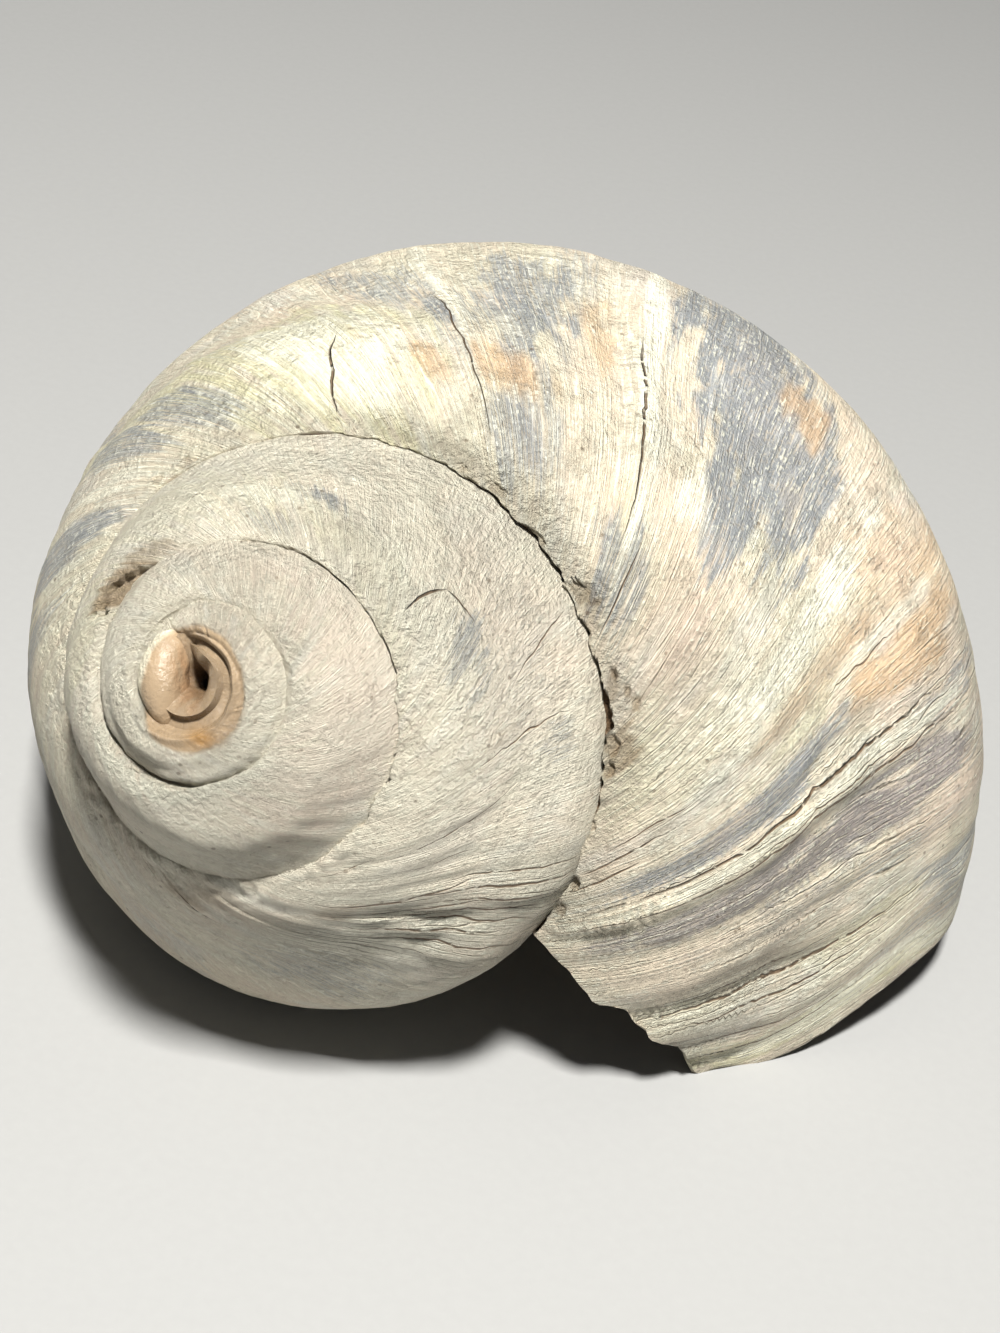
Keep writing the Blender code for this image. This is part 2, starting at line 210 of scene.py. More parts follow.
# Cracks: growth line, from and to in degrees from the seam, half width, slope across the lines
CRACKS = (
    (62.6, 12, 64, 0.28), (59.0, 2, 14, 0.20), (3.3, 1, 96, 0.26), (-0.3, 0, 102, 0.30),
    (0.9, 20, 80, 0.16), (-24.5, 20, 96, 0.34), (-22.0, 22, 70, 0.20), (-27.6, 30, 84, 0.22),
    (-33.2, 36, 80, 0.20), (-36.4, 44, 92, 0.20), (11.2, 1, 9, 0.34), (14.6, 1, 11, 0.30),
    (17.4, 4, 15, 0.20), (13.0, 50, 80, 0.14), (93.6, 8, 50, 0.18), (323.0, 26, 112, 0.42),
    (319.6, 36, 112, 0.34), (316.4, 44, 104, 0.34), (313.0, 46, 104, 0.36),
    (326.4, 50, 108, 0.28), (335.0, 24, 50, 0.22), (341.0, 11, 60, 0.36, 0.16),
    (319.5, 11, 58, 0.55, 0.12), (316.0, 16, 80, 0.36, 0.05), (333.0, 4, 12, 0.40, 1.4),
    (310.0, 24, 96, 0.34), (306.0, 40, 110, 0.32), (128.0, 3, 24, 0.30, -0.62),
    (286.0, 9, 20, 0.34), (420.0, 11, 31, 0.50, -0.60), (408.0, 31, 38, 0.70, -1.9),
    (362.0, 30, 84, 0.26, -0.05), (374.0, 50, 96, 0.22, 0.08),
)


def number(name, default, description):
    """Number that the panel can set."""
    return bpy.props.FloatProperty(name=name, default=default, description=description)


def seven(name, default, description):
    """Seven numbers, at the lip and each half turn behind it."""
    return bpy.props.FloatVectorProperty(
        name=name, size=7, default=default, description=description,
    )


def tone(name, default, description):
    """Colour that the panel can set."""
    return bpy.props.FloatVectorProperty(
        name=name, subtype="COLOR", size=3, default=default, description=description,
    )


class ShellSizes(bpy.types.PropertyGroup):
    """Sizes and colours of the shell."""

    tube_radius: seven(
        "Tube radius", (29.7, 22.1, 14.6, 11.8, 9.7, 7.8, 5.9),
        "Mean radius of the whorl at the lip and each half turn behind it, in mm",
    )
    centre_depth: seven(
        "Centre depth", (68.4, 42.1, 27.6, 18.6, 15.0, 11.2, 8.0),
        "Depth of the whorl's middle below the apex at the same places, in mm",
    )
    coil_ratio: number(
        "Coil ratio", 0.896, "Distance of the whorl's middle from the axis over its mean radius",
    )
    axis_gap: number("Axis gap", 0.8, "Least distance from the axis, in mm")
    oval: number("Oval", 0.273, "How oval the whorl's section is")
    oval_turn: number(
        "Oval turn", 24.6,
        "Where the oval section is narrowest, in degrees up from straight outwards",
    )
    lobes: number("Lobes", 0.030, "How three-lobed the whorl's section is")
    lobes_turn: number(
        "Lobes turn", -58.7, "Where a lobe lies, in degrees up from straight outwards",
    )
    lip_at: number("Lip at", -40.0, "Growth line of the lip, in degrees")
    break_at: number("Break at", 1.8, "Angle at which the upper lip has broken away, in degrees")
    lip_wall: number("Wall at lip", 1.5, "Thickness of the wall at the lip, in mm")
    back_wall: number("Wall inside", 3.0, "Thickness of the wall further in, in mm")
    ivory: tone("Ivory", (0.80, 0.76, 0.58), "Chalky ground of the shell")
    beige: tone("Beige", (0.68, 0.57, 0.44), "Pinkish ground of the shell")
    slate: tone("Slate", (0.27, 0.285, 0.297), "Blue-grey zones where the chalk is worn off")
    mauve: tone("Mauve", (0.27, 0.245, 0.245), "Purple-grey growth band near the lip")
    peach: tone("Peach", (0.62, 0.41, 0.22), "Orange zones")
    cream: tone("Cream", (0.90, 0.88, 0.72), "Raised chalky ridges")
    # Stain and shade: the dark brown of the seam gap, the cracks and the pits is painted shade in
    # these narrow recesses, together with dirt
    stain_and_shade: tone("Stain", (0.16, 0.095, 0.045), "Brown dirt and painted shade in the seam and the cracks")
    tan: tone("Tan", (0.40, 0.295, 0.185), "Smooth worn apex")


# Growth

def smoothstep(x):
    """Rise from 0 to 1 without a corner at either end."""
    x = np.clip(x, 0.0, 1.0)
    return x * x * (3.0 - 2.0 * x)


def drift(x, y, seed):
    """Smooth random field from 0 to 1, one bump to a unit."""
    table = np.random.default_rng(seed).random((61, 67))
    x, y = np.broadcast_arrays(np.asarray(x, float), np.asarray(y, float))
    i, j = np.floor(x).astype(int), np.floor(y).astype(int)
    u, v = smoothstep(x - i), smoothstep(y - j)
    near = table[i % 61, j % 67] * (1 - u) + table[(i + 1) % 61, j % 67] * u
    far = table[i % 61, (j + 1) % 67] * (1 - u) + table[(i + 1) % 61, (j + 1) % 67] * u
    return near * (1 - v) + far * v


def growth_lag(out_angle):
    """Degrees that a growth line falls back, at an angle round the section from its top."""
    turned = np.where(out_angle < 0, 0.0, out_angle)
    rise = LAG_AT_SEAM * (1.0 - np.exp(-turned / LAG_SPAN)) + LAG_SLOPE * turned
    return rise - (LAG_SLOPE * 360.0 + LAG_AT_SEAM) * smoothstep((turned - 150.0) / 210.0)


def lip_lag(line, out_angle, lip_at):
    """Extra lag of the growth lines near the lip, on the outer wall and the base."""
    outer = smoothstep((out_angle - 60.0) / 40.0)
    inner = 1.0 - smoothstep((out_angle - 265.0) / 65.0)
    return 12.0 * outer * inner * (1.0 - smoothstep((line - lip_at) / 35.0))


def seam_angle(back):
    """Angle from the whorl's top at which it meets the whorl before it."""
    places, angles = zip(*SEAM)
    return np.interp(back, places, angles)


def break_shift(line, around, sizes):
    """Degrees by which the broken upper lip holds the growth back from the whole lip."""
    lag = growth_lag(np.where(around > 300.0, 0.0, around))
    ragged = 1.8 * (drift(around / 7.3, 0.0, 5) - 0.5) + 1.3 * (drift(around / 3.1, 0.0, 6) - 0.5)
    missing = sizes.break_at + ragged - lag - sizes.lip_at
    near_seam = np.where(around > 300.0, smoothstep((around - 312.0) / 20.0), 1.0)
    near_seam = near_seam * np.where((around > 90.0) & (around < 300.0), 0.0, 1.0)
    missing = np.maximum(missing, 0.0) * near_seam
    missing = missing - 3.2 * np.exp(-(((around - 80.0) / 20.0) ** 2))
    return missing * (1.0 - smoothstep((line - sizes.lip_at) / 90.0))


def ridges(line, around):
    """Height of the growth relief on the outside, in mm."""
    wander = 1.3 * (drift(around / 17.0, line / 40.0, 11) - 0.5)
    place = line + wander
    height = np.zeros(place.shape)
    for at, size, half_width in GROWTH_LEDGES:
        strength = 0.55 + 0.9 * drift(around / 14.0, at, 12)
        height += size * strength * np.exp(-(((place - at) / half_width) ** 2))
    band = (1.0 - smoothstep((line + 4.0) / 20.0)) + 0.4
    late = np.exp(-(((line - 320.0) / 12.0) ** 2))
    band = band + 0.45 * late * smoothstep((around - 24.0) / 20.0)
    band = band * (1.0 - 0.6 * smoothstep((around - 50.0) / 50.0))
    height += 0.55 * band * (drift(place / 3.0, around / 40.0, 13) - 0.5)
    height += 0.38 * band * (drift(place / 1.8, around / 40.0, 14) - 0.5)
    height *= 1.0 - 0.8 * smoothstep((around - 55.0) / 40.0)
    height += 0.9 * np.exp(-(((line - 308.0) / 30.0) ** 2) - ((around - 96.0) / 30.0) ** 2)
    scales = np.exp(-(((line - 312.0) / 14.0) ** 2)) * smoothstep((around - 20.0) / 25.0)
    scales = scales * (1.0 - smoothstep((around - 98.0) / 24.0))
    height += 0.9 * scales * (drift(place / 3.6, around / 30.0, 15) - 0.5)
    return height * smoothstep(around / 9.0) * (1.0 - smoothstep((around - 190.0) / 50.0))


def shoulder(around, back):
    """Height of the shelf, terraces and creases of the small early whorls, in mm."""
    radius = np.interp(back, *zip(*RADIUS_BACK))
    ragged = 2.6 * (drift(back / 13.0, 0.0, 39) - 0.5)
    shelf = smoothstep((around + ragged * 0.5 + 1.0) / 5.0)
    shelf = shelf * (1.0 - smoothstep((around + ragged - 6.0) / 34.0))
    tall = np.interp(back, *zip(*SHELF))
    span = around * np.radians(1.0) * radius
    crease = 0.30 * np.exp(-((span / 0.5) ** 2)) * smoothstep((back - 130.0) / 60.0)
    wandering = 0.55 + 0.9 * drift(back / 23.0, 0.0, 37)
    step = around / 13.0 + 0.5 * drift(back / 40.0, 0.0, 40)
    terrace = np.sin(step * 2.0 * np.pi) - 0.35 * np.sin(step * 4.0 * np.pi)
    terrace = terrace * smoothstep((back - 900.0) / 90.0) * smoothstep((around - 1.0) / 4.0)
    terrace = terrace * (0.3 + drift(back / 30.0, around / 25.0, 42))
    pocket = np.hypot((back - 547.0) / 19.0, (around - 1.0 - (back - 547.0) * 0.25) / 4.2)
    pocket = pocket + 0.5 * (drift(back / 3.0, around / 2.0, 43) - 0.5)
    pocket = 1.0 - smoothstep((pocket - 0.75) / 0.3)
    return tall * shelf + 0.16 * terrace - crease * wandering - 1.1 * pocket


def seam_edge(around, back):
    """Height in mm of the ragged upper edge at the seam, how far into its gap, and its chips."""
    wide = np.interp(back, *zip(*SEAM_GAP))
    span = around * np.radians(1.0) * np.interp(back, *zip(*RADIUS_BACK))
    uneven = 0.15 + 0.9 * drift(back / 6.0, 0.0, 31) + 0.9 * (drift(back / 2.3, 0.0, 32) - 0.45)
    gap = wide * (uneven + 0.6 * (drift(back / 1.1, 0.0, 35) - 0.5))
    floor = -3.0 * np.minimum(wide, 0.4) * (1.0 - smoothstep((span - gap) / 0.18))
    crest = 0.20 * np.exp(-(((span - gap - 0.5) / 0.7) ** 2)) * (back < 500.0)
    flakes = 0.6 * (drift(back / 2.2, span / 0.8, 33) - 0.55) * np.exp(-((span - 0.9) / 1.3) ** 2)
    flakes = flakes * (1.0 - smoothstep((back - 380.0) / 60.0))
    chip = np.zeros(span.shape)
    for at, out, along, across, depth in CHIPS:
        away = np.hypot((back - at) / along, (span - out) / across)
        away = away + 0.9 * (drift(back / 1.1, span / 0.5, 34) - 0.5)
        chip = np.maximum(chip, depth * (1.0 - smoothstep((away - 0.7) / 0.4)))
    near = (around < 60.0) & (around > -9.0)
    dive = 0.8 * smoothstep((-around - 0.3) / 2.5) * (around < 0.0)
    return (floor + (crest + flakes) * (span > 0) - chip) * near - dive, gap - span, chip


def lined(line, around):
    """How much the surface shows fine wavy growth lines and the painted shadow at their edges, from
    0 to 2.
    """
    lip = 1.0 - smoothstep((line - 4.0) / 10.0)
    late = 2.2 * np.exp(-(((line - 312.0) / 13.0) ** 2)) * smoothstep((around - 14.0) / 16.0)
    seam = np.exp(-(((around - 6.0) / 12.0) ** 2)) * (1.0 - smoothstep((line - 40.0) / 40.0))
    return np.clip(0.22 + 0.9 * lip + late + 0.5 * seam, 0.0, 2.0)


def cover(line, around, patches, seed):
    """How much of the surface a set of patches covers, from 0 to 1, with streaky edges."""
    ragged = 0.75 * (drift(line / 1.7, around / 13.0, seed) - 0.5)
    ragged = ragged + 0.5 * (drift(line / 0.8, around / 5.0, seed + 1) - 0.5)
    bare = np.ones(line.shape)
    for at, across, half_line, half_across, strength in patches:
        away = np.hypot((line - at) / half_line, (around - across) / half_across)
        bare *= 1.0 - strength * smoothstep((1.25 + ragged - away) / 0.7)
    return 1.0 - bare


# Flat sheet of growth

def columns():
    """Angles from the seam, round the whole section, finest at the seam."""
    parts = (
        np.arange(-10.0, -2.5, 2.0), np.arange(-2.0, 3.01, 0.25), np.arange(3.5, 6.1, 0.5),
        np.arange(7.0, 12.1, 1.0), np.arange(13.5, 130.1, 1.5), np.arange(132.2, 230.0, 2.2),
        np.arange(234.0, 320.0, 5.0), np.arange(322.0, 346.0, 6.0),
    )
    return np.concatenate(parts)


def spire_columns(around):
    """Which of the columns the small early whorls keep."""
    kept = []
    for i, angle in enumerate(around):
        seam = -2.0 <= angle <= 3.0
        step = 3 if seam else 1 if angle < 12.5 else 2 if angle < 96 else 1 if angle > 300 else 8
        if i % step == 0:
            kept.append(i)
    return np.array(kept)


class Sheet:
    """Flat sheet of growth: points with a growth line, an angle, a depth and a shrink."""

    def __init__(self):
        self.lines, self.arounds, self.insets, self.shrinks, self.inner = [], [], [], [], []
        self.faces = []
        self.count = 0

    def row(self, lines, arounds, insets, shrink=1.0, inner=0.0):
        """Add a row of points and return their numbers."""
        size = len(arounds)
        for store, value in (
            (self.lines, lines), (self.arounds, arounds), (self.insets, insets),
            (self.shrinks, shrink), (self.inner, inner),
        ):
            store.append(np.broadcast_to(np.asarray(value, float), (size,)))
        self.count += size
        return np.arange(self.count - size, self.count)

    def join(self, first, second):
        """Close the strip between two rows of equal length, round the whole section."""
        after_first, after_second = np.roll(first, -1), np.roll(second, -1)
        self.faces += np.stack([first, after_first, after_second, second], 1).tolist()

    def fan(self, row, line, around, inset, inner=0.0):
        """Close a row with a fan to one point."""
        tip = self.row(line, [around], inset, 0.0, inner)[0]
        self.faces += [[a, b, tip] for a, b in zip(row, np.roll(row, -1))]

    def step_down(self, row, kept, fine):
        """Join a row of few points to a row that has more."""
        size = len(fine)
        for k, start in enumerate(kept):
            end = kept[(k + 1) % len(kept)]
            span = (end - start) % size
            run = [int(fine[(start + i) % size]) for i in range(span + 1)]
            self.faces.append(run[::-1] + [int(row[k]), int(row[(k + 1) % len(kept)])])

    def arrays(self):
        """All points' values, in order."""
        stores = (self.lines, self.arounds, self.insets, self.shrinks, self.inner)
        return [np.concatenate(store) for store in stores]


def shrink_to_end(line, end, over):
    """Part of its size that a tube keeps as it rounds off to an end."""
    near_end = np.clip((line - (end - over)) / over, 0.0, 1.0)
    return math.sqrt(max(1.0 - near_end ** 2, 0.02))


def lay_out_sheet(sizes):
    """Sheet of the whole shell: the outside from the apex to the lip, its rim, and the inside."""
    around = columns()
    kept = spire_columns(around)
    sheet = Sheet()
    lines = np.concatenate([np.arange(SPIRE_END, 560.0, -2.6), np.arange(560.0, 205.0, -1.4)])
    previous = None
    for line in lines:
        shrink = shrink_to_end(line, SPIRE_END, SPIRE_ROUNDING)
        row = sheet.row(line, around[kept], 0.0, shrink)
        if previous is None:
            sheet.fan(row, line, 0.0, 0.0)
        else:
            sheet.join(previous, row)
        previous = row
    outer_lines = np.linspace(204.0, sizes.lip_at, 272)
    for k, line in enumerate(outer_lines):
        moved = line + break_shift(line, around, sizes)
        row = sheet.row(moved, around, 0.0)
        if k == 0:
            sheet.step_down(previous, kept, row)
        else:
            sheet.join(previous, row)
        previous = row
    wall_swell = 1.6 * np.exp(-(((around - 250.0) / 60.0) ** 2))
    shift = break_shift(sizes.lip_at, around, sizes)
    broken = np.clip(shift / 6.0, 0.0, 1.0)
    for part in (0.12, 0.32, 0.6, 0.85):
        ahead = math.sin(math.pi * part) * 0.8 * (1.0 - 0.8 * broken)
        wall = (sizes.lip_wall + wall_swell) * (1.0 - math.cos(math.pi * part)) / 2.0
        chip = broken * 0.5 * (drift(around / 1.3, part * 3.0, 41) - 0.5)
        row = sheet.row(sizes.lip_at + shift - ahead + chip, around, wall)
        sheet.join(previous, row)
        previous = row
    deep_lines = np.arange(1.0, INSIDE_END + 0.1, 5.7)
    for line in np.concatenate([np.arange(-38.5, 0.0, 3.5), deep_lines]):
        shrink = shrink_to_end(line, INSIDE_END, INSIDE_ROUNDING)
        moved = line + break_shift(line, around, sizes)
        deepen = smoothstep((line - sizes.lip_at) / 60.0)
        wall = sizes.lip_wall + (sizes.back_wall - sizes.lip_wall) * deepen + wall_swell
        row = sheet.row(moved, around, wall, shrink, 1.0)
        sheet.join(previous, row)
        previous = row
    sheet.fan(previous, INSIDE_END, 0.0, 0.0, 1.0)
    return sheet


def shape_sheet(sheet, sizes):
    """Angle back, angle round, depth and shrink of every point, and its values for the finish."""
    line, around, inset, shrink, inner = sheet.arrays()
    lag = growth_lag(around) + lip_lag(line, around, sizes.lip_at)
    every = np.arange(0.0, 360.0, 5.0)
    middle_lag = float(np.mean(growth_lag(every)))
    back = line + shrink * lag + (1.0 - shrink) * middle_lag
    out_angle = around + seam_angle(back) * (1.0 - smoothstep(np.abs(around) / 90.0))
    edge, in_gap, chip = seam_edge(around, back)
    relief = ridges(line, around) + shoulder(around, back) * (around < 200.0)
    swell = np.exp(-(((out_angle - 248.0) / 34.0) ** 2) - ((line - sizes.lip_at) / 55.0) ** 2)
    height = relief + edge + 2.6 * swell
    inset = inset - height * (1.0 - inner) * np.where(inset > 0.0, 0.0, 1.0)
    # Painted shade: the inside of the seam gap is marked for the dark fill
    gap_shade = smoothstep((in_gap + 0.14) / 0.16) * (around < 30.0) * (back < 1000.0)
    gap_shade = gap_shade * smoothstep(np.interp(back, *zip(*SEAM_GAP)) / 0.16)
    crumbled = np.exp(-((around - 2.5) / 3.0) ** 2) * (1.0 - smoothstep((back - 110.0) / 60.0))
    crumbled = crumbled + np.exp(-((around - 8.0) / 6.0) ** 2 - ((back - 670.0) / 60.0) ** 2)
    values = {
        "growth_line": line,
        "around": around,
        "inside": inner,
        "gap": gap_shade,
        "chipped": chip,
        "lined": lined(line, around),
        "crumbled": crumbled,
    }
    for name, patches, seed in (
        ("slate", SLATE, 51), ("mauve", MAUVE, 53), ("peach", PEACH, 55), ("cream", CREAM, 57),
        ("stain_and_shade", STAIN, 59), ("pink", PINK, 61), ("yellow", YELLOW, 63),
    ):
        values[name] = cover(line, around, patches, seed)
    return back, out_angle, inset, shrink, values


# Node fields

class Field:
    """Number in a node tree, used with ordinary arithmetic."""

    def __init__(self, tree, socket):
        self.tree = tree
        self.socket = socket

    def math(self, operation, *others, swap=False):
        """Field of one more Math node."""
        node = self.tree.nodes.new("ShaderNodeMath")
        node.operation = operation
        values = (self,) + others
        if swap:
            values = values[::-1]
        for entry, value in zip(node.inputs, values):
            feed(self.tree, entry, value)
        return Field(self.tree, node.outputs[0])

    def __add__(self, other):
        return self.math("ADD", other)

    def __sub__(self, other):
        return self.math("SUBTRACT", other)

    def __rsub__(self, other):
        return self.math("SUBTRACT", other, swap=True)

    def __mul__(self, other):
        return self.math("MULTIPLY", other)

    def __truediv__(self, other):
        return self.math("DIVIDE", other)

    __radd__ = __add__
    __rmul__ = __mul__

    def rise(self, low, high):
        """0 below low and 1 above high, smooth between."""
        node = self.tree.nodes.new("ShaderNodeMapRange")
        node.interpolation_type = "SMOOTHSTEP"
        for name, value in (("Value", self), ("From Min", low), ("From Max", high)):
            feed(self.tree, node.inputs[name], value)
        return Field(self.tree, node.outputs[0])


def feed(tree, entry, value):
    """Give a node's entry a field's link or a plain value."""
    if isinstance(value, Field):
        tree.links.new(value.socket, entry)
    else:
        entry.default_value = value


# Rolling up

ROUND_SIZES = ("Coil ratio", "Axis gap", "Oval", "Oval turn", "Lobes", "Lobes turn")


def growth_curve(tree, sizes, back):
    """Size at an angle back, on a smooth growth curve through the half-turn sizes."""
    logs = [size.math("LOGARITHM", math.e) for size in sizes]
    ends = [2.0 * logs[0] - logs[1]] + logs + [2.0 * logs[-1] - logs[-2]]
    turns = back / 180.0
    step = turns.math("FLOOR").math("MAXIMUM", 0.0).math("MINIMUM", float(len(logs) - 2))
    part = turns - step
    near = []
    for shift in range(4):
        pick = tree.nodes.new("GeometryNodeIndexSwitch")
        pick.data_type = "FLOAT"
        while len(pick.index_switch_items) < len(ends):
            pick.index_switch_items.new()
        feed(tree, pick.inputs[0], step + float(shift))
        for entry, value in zip(pick.inputs[1:], ends):
            feed(tree, entry, value)
        near.append(Field(tree, pick.outputs[0]))
    p0, p1, p2, p3 = near
    curve = (p2 - p0) * part
    curve = curve + (2.0 * p0 - 5.0 * p1 + 4.0 * p2 - p3) * part * part
    curve = curve + (3.0 * p1 - p0 - 3.0 * p2 + p3) * part * part * part
    curve = 0.5 * (2.0 * p1 + curve)
    before = logs[0] + (logs[1] - logs[0]) * turns
    after = logs[-1] + (logs[-1] - logs[-2]) * (turns - float(len(logs) - 1))
    is_before = turns.math("LESS_THAN", 0.0)
    is_after = turns.math("GREATER_THAN", float(len(logs) - 1))
    inside = 1.0 - is_before - is_after
    value = curve * inside + before * is_before + after * is_after
    return value.math("EXPONENT")


def rolling_tree():
    """Tree that rolls a flat sheet up along the widening spiral of the whorls."""
    tree = bpy.data.node_groups.new("Roll up the whorls", "GeometryNodeTree")
    tree.interface.new_socket("Geometry", in_out="INPUT", socket_type="NodeSocketGeometry")
    for name in [f"Tube radius {i}" for i in range(7)] + [f"Centre depth {i}" for i in range(7)]:
        tree.interface.new_socket(name, in_out="INPUT", socket_type="NodeSocketFloat")
    for name in ROUND_SIZES:
        tree.interface.new_socket(name, in_out="INPUT", socket_type="NodeSocketFloat")
    tree.interface.new_socket("Material", in_out="INPUT", socket_type="NodeSocketMaterial")
    tree.interface.new_socket("Geometry", in_out="OUTPUT", socket_type="NodeSocketGeometry")
    given = tree.nodes.new("NodeGroupInput")

    def size(name):
        return Field(tree, given.outputs[name])

    place = tree.nodes.new("ShaderNodeSeparateXYZ")
    tree.links.new(tree.nodes.new("GeometryNodeInputPosition").outputs[0], place.inputs[0])
    back, out_angle, inset = (Field(tree, place.outputs[i]) for i in range(3))
    shrink_node = tree.nodes.new("GeometryNodeInputNamedAttribute")
    shrink_node.data_type = "FLOAT"
    shrink_node.inputs[0].default_value = "shrink"
    shrink = Field(tree, shrink_node.outputs[0])

    radius = growth_curve(tree, [size(f"Tube radius {i}") for i in range(7)], back)
    depth = growth_curve(tree, [size(f"Centre depth {i}") for i in range(7)], back)
    section = (90.0 - out_angle).math("RADIANS")
    oval = ((section - size("Oval turn").math("RADIANS")) * 2.0).math("COSINE") * size("Oval")
    lobe = ((section - size("Lobes turn").math("RADIANS")) * 3.0).math("COSINE") * size("Lobes")
    reach = (radius * (1.0 - oval - lobe) - inset) * shrink
    out = size("Coil ratio") * radius + reach * section.math("COSINE") - size("Axis gap")
    tail = (out.math("ABSOLUTE") * -2.0).math("EXPONENT") + 1.0
    out = out.math("MAXIMUM", 0.0) + tail.math("LOGARITHM", math.e) * 0.5 + size("Axis gap")
    turn = back.math("RADIANS")
    rolled = tree.nodes.new("ShaderNodeCombineXYZ")
    feed(tree, rolled.inputs[0], out * turn.math("COSINE"))
    feed(tree, rolled.inputs[1], out * turn.math("SINE"))
    feed(tree, rolled.inputs[2], reach * section.math("SINE") - depth)

    move = tree.nodes.new("GeometryNodeSetPosition")
    tree.links.new(given.outputs["Geometry"], move.inputs["Geometry"])
    tree.links.new(rolled.outputs[0], move.inputs["Position"])
    real = tree.nodes.new("GeometryNodeRealizeInstances")
    tree.links.new(move.outputs[0], real.inputs[0])
    finish = tree.nodes.new("GeometryNodeSetMaterial")
    tree.links.new(real.outputs[0], finish.inputs["Geometry"])
    tree.links.new(given.outputs["Material"], finish.inputs["Material"])
    result = tree.nodes.new("NodeGroupOutput")
    tree.links.new(finish.outputs[0], result.inputs[0])
    return tree


def roll_up(flat, sizes, material):
    """Mesh of a flat sheet rolled up into the shell, in millimetres."""
    tree = rolling_tree()
    entries = {item.name: item.identifier for item in tree.interface.items_tree
               if item.in_out == "INPUT"}
    step = flat.modifiers.new("Roll up", "NODES")
    step.node_group = tree
    given = {f"Tube radius {i}": value for i, value in enumerate(sizes.tube_radius)}
    given.update({f"Centre depth {i}": value for i, value in enumerate(sizes.centre_depth)})
    given.update({name: getattr(sizes, name.lower().replace(" ", "_")) for name in ROUND_SIZES})
    given["Material"] = material
    for name, value in given.items():
        step[entries[name]] = value
    depsgraph = bpy.context.evaluated_depsgraph_get()
    mesh = bpy.data.meshes.new_from_object(flat.evaluated_get(depsgraph))
    flat.modifiers.clear()
    return mesh


# Wear and placing

def points_of(mesh):
    """Points of a mesh as rows."""
    flat = np.empty(len(mesh.vertices) * 3)
    mesh.vertices.foreach_get("co", flat)
    return flat.reshape(-1, 3)


def normals_of(mesh):
    """Point normals of a mesh as rows."""
    flat = np.empty(len(mesh.vertices) * 3)
    mesh.vertex_normals.foreach_get("vector", flat)
    return flat.reshape(-1, 3)


def lumps(points, size, seed):
    """Rounded random lumps between -1 and 1, about as wide as the size."""
    move = Vector((seed * 7.3, seed * 3.1, seed * 5.7))
    return np.array([wave.noise(Vector(point) / size + move) for point in points])


def clouds(points, size, seed):
    """Layered random lumps from 0 to 1, the broadest about as wide as the size."""
    total, most, strength = 0.0, 0.0, 1.0
    for layer in range(4):
        total = total + strength * lumps(points, size / 2 ** layer, seed + layer)
        most += strength
        strength *= 0.6
    return 0.5 + 0.5 * total / most


def put(mesh, name, values):
    """Store one value a point."""
    store = mesh.attributes.get(name) or mesh.attributes.new(name, "FLOAT", "POINT")
    store.data.foreach_set("value", np.asarray(values, dtype=np.float32))


def stored(mesh, name):
    """Values that are stored a point."""
    values = np.empty(len(mesh.vertices), dtype=np.float32)
    mesh.attributes[name].data.foreach_get("value", values)
    return values


def put_patterns(mesh, points, line, around):
    """Store the broad random patterns that the finish reads."""
    sheet = np.stack([line, around, np.zeros(len(points))], 1)
    put(mesh, "mottle", clouds(points, 10.0, 21))
    put(mesh, "bands", clouds(sheet * (0.32, 0.03, 0.0), 1.0, 31))
    put(mesh, "sky", clouds(sheet * (0.12, 0.045, 0.0), 1.0, 41))
    put(mesh, "warp", clouds(sheet * (0.22, 0.02, 0.0), 1.0, 51))
    put(mesh, "wobble", clouds(sheet * (0.02, 0.10, 0.0), 1.0, 61))


def plug():
    """Callus plug and columella, the fill round the axis below the spire, as two round bodies."""
    bm = bmesh.new()
    for middle, radius, half in (((0, 0, -32.5), 7.5, 25.5), ((2, -2, -50.5), 11.5, 9.0)):
        made = bmesh.ops.create_uvsphere(bm, u_segments=40, v_segments=28, radius=radius)["verts"]
        bmesh.ops.scale(bm, verts=made, vec=Vector((1, 1, half / radius)))
        bmesh.ops.translate(bm, verts=made, vec=Vector(middle))
    return bm


def first_whorl(bm):
    """Bare, smooth dome of the first whorl, that fills one side of the worn apex."""
    made = bmesh.ops.create_uvsphere(bm, u_segments=40, v_segments=28, radius=1.0)["verts"]
    for vertex in made:
        x, y, z = vertex.co
        taper = 1.0 - 0.22 * smoothstep(-y)
        bend = 0.5 * (1.0 - y * y) - 0.35
        vertex.co = Vector((2.0 * x * taper - bend, 3.8 * y, 2.3 * z))
    bmesh.ops.rotate(bm, verts=made, cent=Vector(), matrix=Matrix.Rotation(
        math.radians(50.0), 3, "Z"))
    bmesh.ops.translate(bm, verts=made, vec=Vector((-1.67, -2.15, -2.6)))


def laid_down():
    """Turn and place that set the shell on its aperture, as the solid lies."""
    turn = Matrix.Identity(3)
    for axis, degrees in REST_TURNS:
        turn = turn @ Matrix.Rotation(math.radians(degrees), 3, axis)
    return np.array(turn), np.array(REST_MOVE)


def into_box(points):
    """Points with what stands out of the solid's box pressed back into it."""
    low, high = (np.array(corner) / MM for corner in CAD_BOX)
    soft = 1.0
    over = np.maximum(points - (high - soft), 0.0)
    points = np.where(over > 0.0, high - soft + soft * np.tanh(over / soft), points)
    under = np.maximum((low + soft) - points, 0.0)
    pressed = low + soft - soft * np.tanh(under / soft)
    pressed[:, 2] = np.maximum(points[:, 2], low[2])
    return np.where(under > 0.0, pressed, points)


# Finishes

def attribute(tree, name):
    """Field of one of the shell's own point values."""
    node = tree.nodes.new("ShaderNodeAttribute")
    node.attribute_name = name
    return Field(tree, node.outputs["Fac"])


